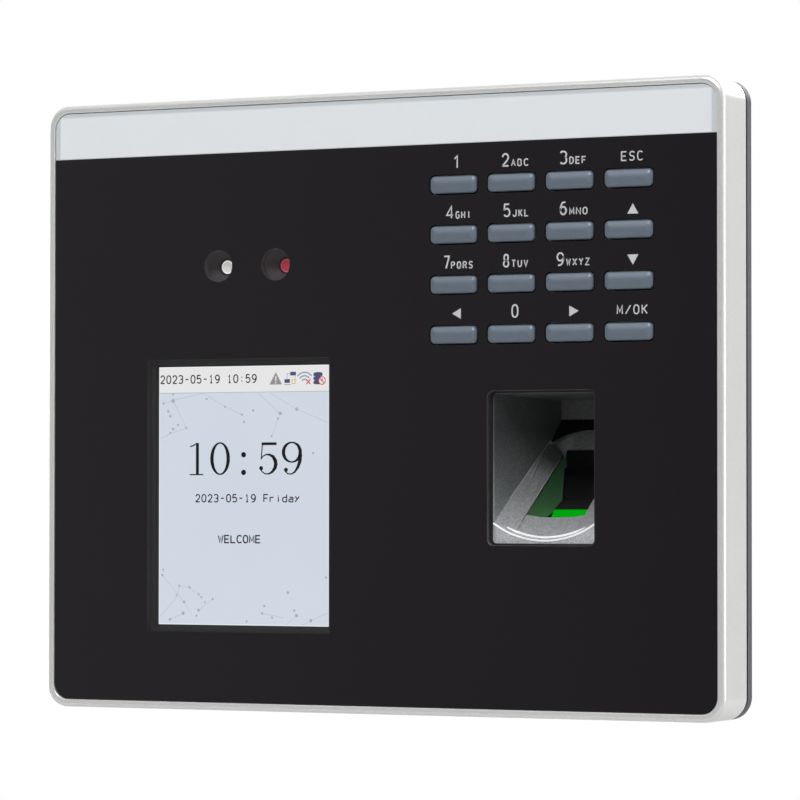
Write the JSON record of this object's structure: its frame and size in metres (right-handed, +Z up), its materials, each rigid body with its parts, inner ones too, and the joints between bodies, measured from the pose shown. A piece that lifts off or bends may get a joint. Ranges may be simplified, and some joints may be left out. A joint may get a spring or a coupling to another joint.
{
  "type": "fingerprint scanner terminal",
  "caption": "Wall-mounted access terminal: black glass front with a colour screen, keypad, camera windows and a finger tunnel in a silver casing.",
  "frame": {"origin": "centre of the wall plate back face, which lies on the wall", "axes": "+X to the reader right, +Y into the wall, +Z up; the glass front faces -Y"},
  "size_m": [0.166, 0.0364, 0.136],
  "materials": {
    "silver_paint": "satin silver paint on a moulded casing",
    "silver_guide": "fine metallic grey paint, slightly sparkling",
    "black_glass": "clear glass printed black on its back, white band at the top",
    "black_tape": "matt",
    "black_rubber": "matt",
    "dark_plastic": "fine moulded grain",
    "screw_steel": "zinc plated",
    "plate_steel": "zinc plated sheet",
    "circuit_board": "green solder mask",
    "tin_plate": "bright tin",
    "chip_plastic": "matt black",
    "can_aluminium": "satin",
    "relay_plastic": "glossy blue",
    "cell_steel": "polished",
    "ivory_plastic": "satin",
    "ribbon_film": "white film",
    "flex_film": "amber polyimide film",
    "shroud_plastic": "matt black",
    "lens_barrel": "gloss black barrel with a coated lens",
    "infrared_lens": "deep red filter",
    "led_clear": "clear resin",
    "clear_glass": "polished",
    "key_plastic": "slate grey, satin",
    "screen": "lit display behind clear glass",
    "green_light": "lit green light bar"
  },
  "bodies": {
    "terminal": {"front_housing": "silver_paint", "front_glass": "black_glass", "panel_tape": "black_tape", "window_gasket": "black_rubber", "rear_cover": "dark_plastic", "housing_screws": "screw_steel", "inner_screws": "screw_steel", "wall_plate": "plate_steel", "lock_screw": "screw_steel", "main_board": "circuit_board", "processor_shield": "tin_plate", "board_chips": "chip_plastic", "board_capacitors": "can_aluminium", "wifi_module": "circuit_board", "relay": "relay_plastic", "clock_battery": "cell_steel", "battery_holder": "chip_plastic", "ethernet_jack": "tin_plate", "usb_port": "tin_plate", "wire_headers": "ivory_plastic", "tamper_switch": "chip_plastic", "speaker": "chip_plastic", "key_board": "circuit_board", "key_switches": "chip_plastic", "key_ribbon": "ribbon_film", "lcd_gasket": "black_rubber", "lcd_bezel": "tin_plate", "lcd_panel": "screen", "lcd_backlight": "ribbon_film", "lcd_flex": "flex_film", "camera_shroud": "shroud_plastic", "camera_board": "circuit_board", "camera_connector": "ivory_plastic", "colour_camera": "lens_barrel", "infrared_camera": "infrared_lens", "infrared_leds": "led_clear", "finger_guide": "silver_guide", "sensor_glass": "clear_glass", "sensor_housing": "shroud_plastic", "sensor_light": "green_light", "sensor_lens": "lens_barrel", "sensor_board": "circuit_board", "sensor_ribbon": "ribbon_film"},
    "key_1": {"key_1": "key_plastic"},
    "key_2": {"key_2": "key_plastic"},
    "key_3": {"key_3": "key_plastic"},
    "key_esc": {"key_esc": "key_plastic"},
    "key_4": {"key_4": "key_plastic"},
    "key_5": {"key_5": "key_plastic"},
    "key_6": {"key_6": "key_plastic"},
    "key_up": {"key_up": "key_plastic"},
    "key_7": {"key_7": "key_plastic"},
    "key_8": {"key_8": "key_plastic"},
    "key_9": {"key_9": "key_plastic"},
    "key_down": {"key_down": "key_plastic"},
    "key_left": {"key_left": "key_plastic"},
    "key_0": {"key_0": "key_plastic"},
    "key_right": {"key_right": "key_plastic"},
    "key_ok": {"key_ok": "key_plastic"},
    "tamper_plunger": {"tamper_plunger": "ivory_plastic"}
  },
  "joints": [
    {"name": "key_1_press", "type": "slide", "parent": "terminal", "child": "key_1", "axis": [0, 1, 0], "range_m": [0, 0.0005], "stiffness_N_per_m": 1200, "springref_m": -0.0004},
    {"name": "key_2_press", "type": "slide", "parent": "terminal", "child": "key_2", "axis": [0, 1, 0], "range_m": [0, 0.0005], "stiffness_N_per_m": 1200, "springref_m": -0.0004},
    {"name": "key_3_press", "type": "slide", "parent": "terminal", "child": "key_3", "axis": [0, 1, 0], "range_m": [0, 0.0005], "stiffness_N_per_m": 1200, "springref_m": -0.0004},
    {"name": "key_esc_press", "type": "slide", "parent": "terminal", "child": "key_esc", "axis": [0, 1, 0], "range_m": [0, 0.0005], "stiffness_N_per_m": 1200, "springref_m": -0.0004},
    {"name": "key_4_press", "type": "slide", "parent": "terminal", "child": "key_4", "axis": [0, 1, 0], "range_m": [0, 0.0005], "stiffness_N_per_m": 1200, "springref_m": -0.0004},
    {"name": "key_5_press", "type": "slide", "parent": "terminal", "child": "key_5", "axis": [0, 1, 0], "range_m": [0, 0.0005], "stiffness_N_per_m": 1200, "springref_m": -0.0004},
    {"name": "key_6_press", "type": "slide", "parent": "terminal", "child": "key_6", "axis": [0, 1, 0], "range_m": [0, 0.0005], "stiffness_N_per_m": 1200, "springref_m": -0.0004},
    {"name": "key_up_press", "type": "slide", "parent": "terminal", "child": "key_up", "axis": [0, 1, 0], "range_m": [0, 0.0005], "stiffness_N_per_m": 1200, "springref_m": -0.0004},
    {"name": "key_7_press", "type": "slide", "parent": "terminal", "child": "key_7", "axis": [0, 1, 0], "range_m": [0, 0.0005], "stiffness_N_per_m": 1200, "springref_m": -0.0004},
    {"name": "key_8_press", "type": "slide", "parent": "terminal", "child": "key_8", "axis": [0, 1, 0], "range_m": [0, 0.0005], "stiffness_N_per_m": 1200, "springref_m": -0.0004},
    {"name": "key_9_press", "type": "slide", "parent": "terminal", "child": "key_9", "axis": [0, 1, 0], "range_m": [0, 0.0005], "stiffness_N_per_m": 1200, "springref_m": -0.0004},
    {"name": "key_down_press", "type": "slide", "parent": "terminal", "child": "key_down", "axis": [0, 1, 0], "range_m": [0, 0.0005], "stiffness_N_per_m": 1200, "springref_m": -0.0004},
    {"name": "key_left_press", "type": "slide", "parent": "terminal", "child": "key_left", "axis": [0, 1, 0], "range_m": [0, 0.0005], "stiffness_N_per_m": 1200, "springref_m": -0.0004},
    {"name": "key_0_press", "type": "slide", "parent": "terminal", "child": "key_0", "axis": [0, 1, 0], "range_m": [0, 0.0005], "stiffness_N_per_m": 1200, "springref_m": -0.0004},
    {"name": "key_right_press", "type": "slide", "parent": "terminal", "child": "key_right", "axis": [0, 1, 0], "range_m": [0, 0.0005], "stiffness_N_per_m": 1200, "springref_m": -0.0004},
    {"name": "key_ok_press", "type": "slide", "parent": "terminal", "child": "key_ok", "axis": [0, 1, 0], "range_m": [0, 0.0005], "stiffness_N_per_m": 1200, "springref_m": -0.0004},
    {"name": "tamper_press", "type": "slide", "parent": "terminal", "child": "tamper_plunger", "axis": [0, -1, 0], "range_m": [0, 0.001], "stiffness_N_per_m": 400, "springref_m": -0.001}
  ]
}
